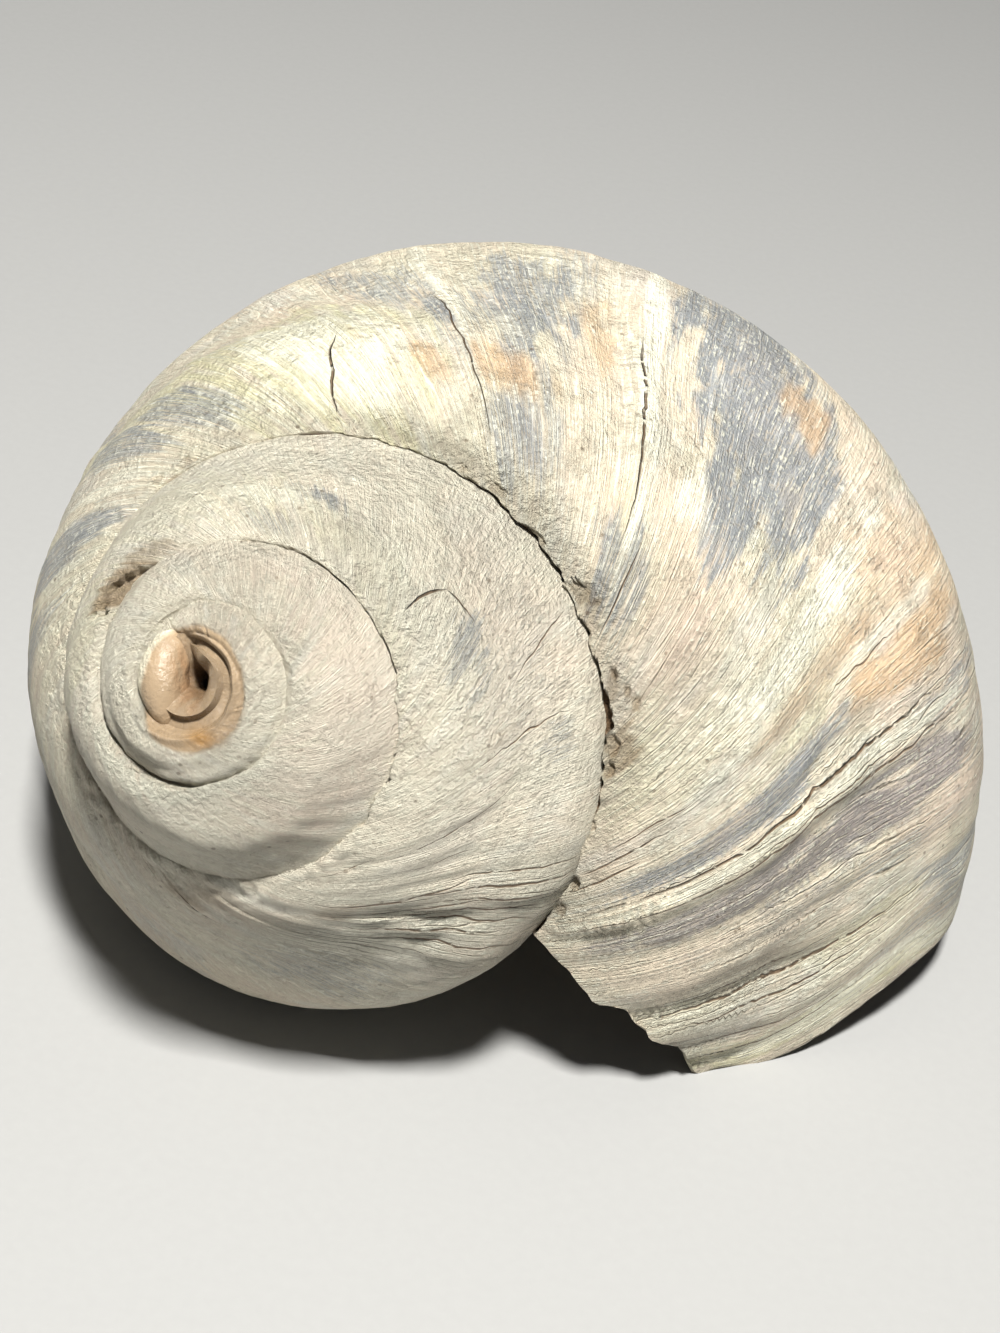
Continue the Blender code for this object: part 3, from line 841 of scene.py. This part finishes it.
def noise_field(tree, vector, scale, detail=4.0, rough=0.55):
    """Field of a noise texture on a vector socket."""
    node = tree.nodes.new("ShaderNodeTexNoise")
    node.inputs["Scale"].default_value = scale
    node.inputs["Detail"].default_value = detail
    node.inputs["Roughness"].default_value = rough
    tree.links.new(vector, node.inputs["Vector"])
    return Field(tree, node.outputs["Fac"])


def combined(tree, x, y, z=0.0):
    """Vector socket of three fields or numbers."""
    node = tree.nodes.new("ShaderNodeCombineXYZ")
    for entry, value in zip(node.inputs, (x, y, z)):
        feed(tree, entry, value)
    return node.outputs[0]


def tinted(tree, amount, below, above):
    """Colour socket that goes from one colour to another by an amount."""
    node = tree.nodes.new("ShaderNodeMix")
    node.data_type = "RGBA"
    feed(tree, node.inputs[0], amount)
    for entry, value in ((node.inputs[6], below), (node.inputs[7], above)):
        if isinstance(value, bpy.types.NodeSocket):
            tree.links.new(value, entry)
        else:
            entry.default_value = (*value, 1.0)
    return node.outputs[2]


def cracked(tree, line, around):
    """Field of the cracks, lens shaped, 1 in their middle and 0 beside them."""
    plain = combined(tree, line, around)
    nearest = None
    for at, start, end, half, *slope in CRACKS:
        spot = combined(tree, line - (around - start) * slope[0], around) if slope else plain
        narrow, reach = 1.0 / half, 1.85 / (end - start)
        scaled = tree.nodes.new("ShaderNodeVectorMath")
        scaled.operation = "MULTIPLY_ADD"
        tree.links.new(spot, scaled.inputs[0])
        scaled.inputs[1].default_value = (narrow, reach, 0.0)
        scaled.inputs[2].default_value = (-at * narrow, -0.5 * (start + end) * reach, 0.0)
        length = tree.nodes.new("ShaderNodeVectorMath")
        length.operation = "LENGTH"
        tree.links.new(scaled.outputs[0], length.inputs[0])
        away = Field(tree, length.outputs["Value"])
        nearest = away if nearest is None else nearest.math("MINIMUM", away)
    return 1.0 - nearest.rise(0.45, 1.10)


def shell_finish(sizes):
    """Chalky outside with slate, peach and cream growth bands, tan apex and porcelain inside."""
    material = bpy.data.materials.new("worn_shell")
    material.use_nodes = True
    tree = material.node_tree
    shader = tree.nodes["Principled BSDF"]
    coords = tree.nodes.new("ShaderNodeTexCoord")
    scaled = tree.nodes.new("ShaderNodeMapping")
    scaled.inputs["Scale"].default_value = (1000.0, 1000.0, 1000.0)
    tree.links.new(coords.outputs["Object"], scaled.inputs["Vector"])
    place = scaled.outputs[0]

    def own(name):
        return attribute(tree, name)

    def patch(name, ragged, low, high):
        return (own(name) + ragged).rise(low, high)

    def over(amount, shade):
        nonlocal colour
        colour = tinted(tree, amount, colour, shade)

    line, around, inside = own("growth_line"), own("around"), own("inside")
    fine = combined(tree, line * 1.5, around * 0.05)
    streak = noise_field(tree, fine, 1.6, 4.0, 0.66)
    grain = noise_field(tree, place, 1.5, 5.0, 0.66)
    mottle = own("mottle")
    broken = (streak - 0.5) * 1.1 + (grain - 0.5) * 0.9

    bands = own("bands") * 0.8
    ground = (mottle * 1.2 + bands + broken * 0.5 - 0.95).rise(-0.35, 0.45)
    colour = tinted(tree, ground, sizes.beige, sizes.ivory)
    sky = (own("sky") + broken * 0.25).rise(0.46, 0.72)
    over(sky * 0.40, SKY_GREY)
    over(patch("pink", broken * 0.6, 0.15, 1.1) * 0.75, PINKISH)
    over(patch("yellow", broken * 0.6, 0.15, 1.1) * 0.8, YELLOWISH)
    early = line.rise(215.0, 300.0) * (0.6 + (mottle - 0.5) * 1.6)
    over(early * 0.78, SPIRE_WHITE)
    fingers = (streak - 0.5) * 2.4 + (grain - 0.5) * 0.5
    slate = patch("slate", fingers, 0.22, 1.0)
    over(slate, sizes.slate)
    hairs = noise_field(tree, combined(tree, line * 3.2, around * 0.09, 5.0), 1.0, 2.0, 0.5)
    over(hairs.rise(0.60, 0.66) * slate * 0.55, HAIR_WHITE)
    over(patch("mauve", fingers * 0.8, 0.15, 1.0) * 0.85, sizes.mauve)
    over(patch("peach", broken * 0.8, 0.10, 1.2) * 0.8, sizes.peach)
    over(patch("cream", fingers * 0.8, 0.20, 1.0) * 0.85, sizes.cream)
    chalk = (streak + (grain - 0.5) * 0.7).rise(0.54, 0.66)
    over(chalk * 0.6, sizes.cream)
    dull = (0.5 - (grain - 0.5) * 1.2 - (streak - 0.5) * 0.9).rise(0.52, 0.72)
    over(dull * (0.45 - early * 0.2), DULL_BROWN)
    over(patch("stain_and_shade", broken * 0.8, 0.25, 1.1) * 0.75, DRY_BROWN)

    lamina = line * 0.55 + own("warp") * 4.0
    at_edge = 1.0 - lamina.math("PINGPONG", 0.5).rise(0.02, 0.11)
    listed = own("lined") * (broken + mottle).rise(0.30, 0.75)
    threads = at_edge * listed
    lamina = lamina.math("FRACT") * listed
    # Painted shade: a thin dark line at the drop of each lamina stands for the shadow of its edge
    over(threads * 0.8, THREAD_SHADOW_BROWN)
    over(lamina.rise(0.55, 1.0) * 0.5, sizes.cream)

    wobble = (own("wobble") - 0.5) * 3.4
    crack = cracked(tree, line + wobble, around)
    crack = crack * noise_field(tree, place, 0.9, 1.0).rise(0.28, 0.46)
    over(own("chipped").rise(0.15, 0.6) * 0.55, CHIP_BROWN)
    # Painted shade with dirt: the seam gap and the cracks are filled dark brown, on top of their
    # sunk relief
    over(own("gap").math("MAXIMUM", crack * 0.92), sizes.stain_and_shade)
    pit_node = tree.nodes.new("ShaderNodeTexVoronoi")
    pit_node.inputs["Scale"].default_value = 0.75
    tree.links.new(place, pit_node.inputs["Vector"])
    pitted = noise_field(tree, place, 0.22, 2.0).rise(0.52, 0.62)
    pits = (1.0 - Field(tree, pit_node.outputs["Distance"]).rise(0.08, 0.20)) * pitted
    # Painted shade with dirt: the pits are darkened with the same brown
    over(pits * 0.55, sizes.stain_and_shade)

    apex = own("apex")
    over(apex, tinted(tree, (mottle + grain * 0.3).rise(0.45, 0.8), sizes.tan, DEEP_TAN))
    over(own("torn") * 0.75, TEAR_BROWN)
    over(own("amber") * 0.85, AMBER)
    # Painted shade: the walls of the apex pit are darkened brown towards it, and its hole is
    # painted black, where the mesh has only a shallow dip
    pit = own("apex_pit")
    over(pit.rise(0.05, 0.5) * 0.75, HOLLOW_BROWN_AND_SHADE)
    over(pit.rise(0.55, 0.95), HOLE_SHADE_BLACK)
    over(inside, tinted(tree, mottle.rise(0.3, 0.7), *PORCELAIN))
    tree.links.new(colour, shader.inputs["Base Color"])

    rough = 0.62 + (grain - 0.5) * 0.25 - slate * 0.14 - apex * 0.34 - inside * 0.26
    tree.links.new(rough.socket, shader.inputs["Roughness"])
    shader.inputs["Specular IOR Level"].default_value = 0.45

    outside = (1.0 - inside) * (1.0 - apex * 0.85)
    coarse = noise_field(tree, place, 0.5, 3.0, 0.6)
    chalky = (1.0 - slate * 0.7) * (mottle + (coarse - 0.5) * 0.9).rise(0.42, 0.66)
    height = (grain - 0.5) * (0.40 + chalky) + (coarse - 0.5) * (0.3 + chalky) * 0.7
    height = height + (streak - 0.5) * 0.55 + lamina * 0.45
    loose = own("crinkled") * 1.3 + own("crumbled") * 2.2
    height = height + (grain - 0.5) * loose - crack * 1.4 - threads * 0.60
    bump = tree.nodes.new("ShaderNodeBump")
    bump.inputs["Distance"].default_value = MM
    feed(tree, bump.inputs["Height"], height * outside)
    tree.links.new(bump.outputs[0], shader.inputs["Normal"])
    return material


def floor_finish():
    """Plain pale paper."""
    material = bpy.data.materials.new("pale_floor")
    material.use_nodes = True
    tree = material.node_tree
    shader = tree.nodes["Principled BSDF"]
    coords = tree.nodes.new("ShaderNodeTexCoord")
    grain = noise_field(tree, coords.outputs["Object"], 900.0, 3.0)
    tone = tinted(tree, grain, *PAPER)
    tree.links.new(tone, shader.inputs["Base Color"])
    shader.inputs["Roughness"].default_value = 0.85
    return material


class GrowShell(bpy.types.Operator):
    """Grow the shell, wear it and lay it on its aperture"""

    bl_idname = "snail_shell.grow"
    bl_label = "Grow shell"

    def execute(self, context):
        sizes = context.scene.shell_sizes
        sheet = lay_out_sheet(sizes)
        back, out_angle, inset, shrink, values = shape_sheet(sheet, sizes)
        mesh = bpy.data.meshes.new("flat_sheet")
        mesh.from_pydata(np.stack([back, out_angle, inset], 1).tolist(), [], sheet.faces)
        put(mesh, "shrink", shrink)
        for name, value in values.items():
            put(mesh, name, value)
        flat = bpy.data.objects.new("flat_sheet", mesh)
        context.scene.collection.objects.link(flat)
        material = shell_finish(sizes)
        rolled = roll_up(flat, sizes, material)
        bpy.data.objects.remove(flat, do_unlink=True)

        bm = plug()
        first_whorl(bm)
        bm.from_mesh(rolled)
        bmesh.ops.recalc_face_normals(bm, faces=bm.faces)
        bm.to_mesh(rolled)
        bm.free()
        self.wear(rolled)
        turn, move = laid_down()
        points = into_box(points_of(rolled) @ turn.T + move)
        rolled.vertices.foreach_set("co", (points * MM).ravel())
        rolled.update()
        rolled.shade_smooth()
        rolled.set_sharp_from_angle(angle=math.radians(48.0))
        piece = bpy.data.objects.new("moon_snail_shell", rolled)
        context.scene.collection.objects.link(piece)
        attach(piece, "root")
        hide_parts(NODE)
        return {"FINISHED"}

    def wear(self, mesh):
        """Roughen the surface along its normals, and mark the bare apex and its hollow and hole,
        which the finish paints brown and black as shade.
        """
        points, normals = points_of(mesh), normals_of(mesh)
        inner, line = stored(mesh, "inside"), stored(mesh, "growth_line")
        put_patterns(mesh, points, line, stored(mesh, "around"))
        height = 0.20 * lumps(points, 9.0, 1) + 0.07 * lumps(points, 2.6, 2)
        rough = smoothstep((lumps(points, 11.0, 3) + 0.25) / 0.5)
        height += rough * 0.06 * lumps(points, 1.0, 4)
        right, top = points @ PICTURE_RIGHT, points @ PICTURE_UP
        high = points[:, 2] > -6.5
        bare = np.hypot((right - 0.6) / 4.2, (top + 1.0) / 5.1)
        apex = (1.0 - smoothstep((bare + 0.07 * lumps(points, 2.0, 6) - 0.95) / 0.09)) * high
        spire_rough = smoothstep((line - 250.0) / 60.0) * (1.0 - apex)
        beside = np.exp(-(((line - 400.0) / 45.0) ** 2)) + np.exp(-(((line - 560.0) / 30.0) ** 2))
        patchy = 0.2 + 0.4 * smoothstep((lumps(points, 6.0, 8) + 0.1) / 0.5) + 0.7 * beside
        height += spire_rough * patchy * 0.20 * lumps(points, 2.0, 5)
        height = height * (1.0 - inner) * (1.0 - 0.85 * apex)
        torn = np.exp(-(((right + 0.1 + 0.18 * top) / 0.75) ** 2))
        torn = torn * np.exp(-(((top + 0.2) / 2.6) ** 4)) * high
        height += torn * (0.25 * lumps(points, 1.1, 11) - 0.15)
        points = points + normals * height[:, None]
        hollow = np.hypot((right - 1.0 - 0.15 * top) / 1.0, (top + 0.2) / 2.0)
        hollow = (1.0 - smoothstep((hollow + 0.2 * lumps(points, 1.0, 12) - 0.5) / 0.5)) * high
        points[:, 2] -= 0.6 * hollow * (points[:, 2] > -4.5)
        mesh.vertices.foreach_set("co", points.ravel())
        mesh.update()
        # The hole at the apex is only painted, black as its shade
        hole = np.hypot((right - 1.15) / 0.24, (top + 0.45) / 0.42)
        amber = np.exp(-(((right - 1.3) / 1.0) ** 2) - (((top + 4.7) / 0.8) ** 2)) * high
        put(mesh, "apex", apex)
        put(mesh, "amber", amber)
        put(mesh, "torn", torn * smoothstep((lumps(points, 0.8, 12) + 0.45) / 0.5))
        put(mesh, "apex_pit", hollow * 0.45 + 0.55 * (1.0 - smoothstep((hole - 0.8) / 0.5)) * high)
        put(mesh, "crinkled", spire_rough * patchy)


class SetStage(bpy.types.Operator):
    """Set the pale floor, the soft lights and the camera"""

    bl_idname = "snail_shell.stage"
    bl_label = "Set stage"

    def execute(self, context):
        scene = context.scene
        bm = bmesh.new()
        bmesh.ops.create_grid(bm, x_segments=4, y_segments=4, size=1.5)
        mesh = bpy.data.meshes.new("floor")
        bm.to_mesh(mesh)
        bm.free()
        mesh.materials.append(floor_finish())
        floor = bpy.data.objects.new("floor", mesh)
        scene.collection.objects.link(floor)
        world = bpy.data.worlds.new("soft_room")
        world.use_nodes = True
        sky = world.node_tree.nodes["Background"]
        sky.inputs["Color"].default_value = (0.93, 0.96, 1.0, 1.0)
        sky.inputs["Strength"].default_value = 0.075
        scene.world = world
        self.light("key", (-0.01, -0.26, 0.68), 0.08, 12.5, (1.0, 0.985, 0.95))
        self.light("fill", (-0.40, -0.50, 0.45), 0.5, 0.1, (0.93, 0.96, 1.0))
        scene.view_settings.view_transform = "Standard"
        self.camera(scene)
        return {"FINISHED"}

    def light(self, name, place, size, power, colour):
        """Square soft light aimed at the shell."""
        data = bpy.data.lights.new(name, "AREA")
        data.size = size
        data.energy = power
        data.color = colour
        lamp = bpy.data.objects.new(name, data)
        lamp.location = place
        aim = Vector((0.0, 0.0, 0.03)) - Vector(place)
        lamp.rotation_euler = aim.to_track_quat("-Z", "Y").to_euler()
        bpy.context.scene.collection.objects.link(lamp)

    def camera(self, scene):
        """Camera above the spire, near, with the apex on the left."""
        axes = np.array((PICTURE_RIGHT, PICTURE_UP, PICTURE_OUT)).T
        turn, move = laid_down()
        place = turn @ axes @ CAMERA_PLACE + move
        facing = Matrix((turn @ axes).tolist()).to_4x4()
        data = bpy.data.cameras.new("camera")
        data.sensor_fit = "HORIZONTAL"
        data.sensor_width = SENSOR_WIDTH
        data.lens = SENSOR_WIDTH * CAMERA_LENS
        data.clip_start = 0.005
        camera = bpy.data.objects.new("camera", data)
        camera.matrix_world = Matrix.Translation(Vector(place * MM)) @ facing
        scene.collection.objects.link(camera)
        scene.camera = camera


class ShellPanel(bpy.types.Panel):
    """Steps that make the shell and its stage"""

    bl_idname = "VIEW3D_PT_snail_shell"
    bl_label = "Moon snail shell"
    bl_space_type = "VIEW_3D"
    bl_region_type = "UI"
    bl_category = "Shell"

    def draw(self, context):
        sizes = context.scene.shell_sizes
        for name in ShellSizes.__annotations__:
            self.layout.prop(sizes, name)
        self.layout.operator(GrowShell.bl_idname)
        self.layout.operator(SetStage.bl_idname)


CLASSES = (ShellSizes, GrowShell, SetStage, ShellPanel)


def register():
    """Add the classes and the scene's shell sizes."""
    for thing in CLASSES:
        bpy.utils.register_class(thing)
    bpy.types.Scene.shell_sizes = bpy.props.PointerProperty(type=ShellSizes)


def unregister():
    """Take the classes and the scene's shell sizes away."""
    del bpy.types.Scene.shell_sizes
    for thing in reversed(CLASSES):
        bpy.utils.unregister_class(thing)


def main():
    """Grow the shell and set its stage."""
    register()
    bpy.ops.snail_shell.grow()
    bpy.ops.snail_shell.stage()


if __name__ == "__main__":
    main()
